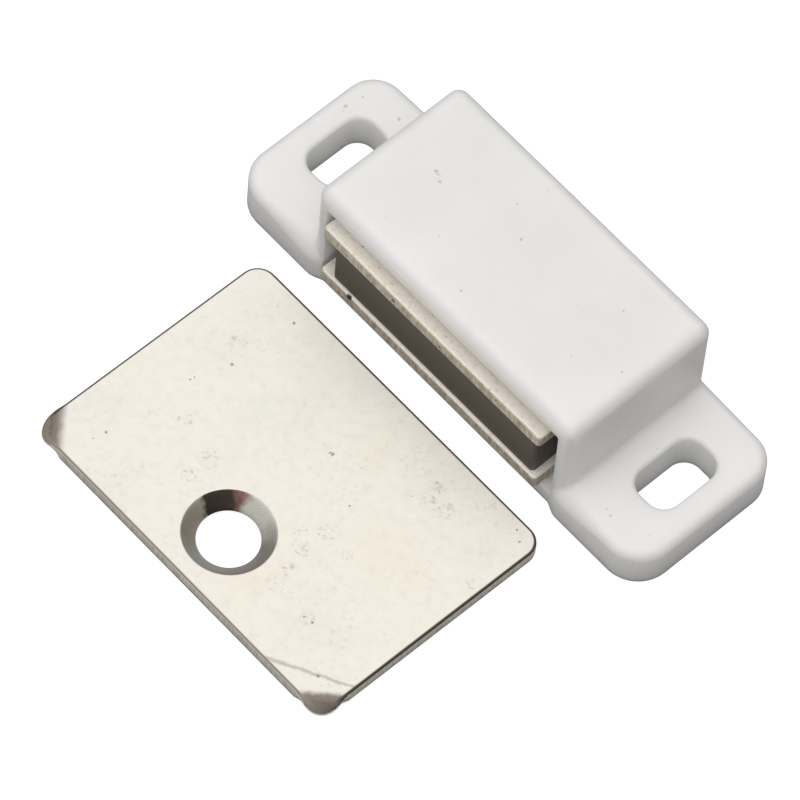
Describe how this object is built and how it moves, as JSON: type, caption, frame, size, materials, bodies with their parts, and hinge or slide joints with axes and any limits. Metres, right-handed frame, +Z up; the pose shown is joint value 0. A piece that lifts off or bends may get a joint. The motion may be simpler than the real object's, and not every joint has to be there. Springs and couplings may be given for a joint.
{
  "type": "magnetic catch",
  "caption": "Magnetic catch: a white moulded housing with slotted ears holds a magnet between pole plates; a countersunk strike plate with turned down corners lies in front.",
  "frame": {"origin": "centre of the housing's flat base, half way between the fronts and backs of the ears", "axes": "+X along the housing and its two ears, -Y out of the mouth towards the strike plate, +Z up from the base"},
  "size_m": [0.0476, 0.0422, 0.0126],
  "materials": {
    "housing": "moulded white plastic with a soft gloss",
    "pole_plate": "dull nickel plate with stamped edges",
    "magnet": "dark matt ferrite",
    "strike_plate": "bright nickel plate with faint smudges"
  },
  "bodies": {
    "root": {"housing": "housing", "upper_pole_plate": "pole_plate", "lower_pole_plate": "pole_plate", "magnet": "magnet", "strike_plate": "strike_plate"}
  },
  "joints": []
}
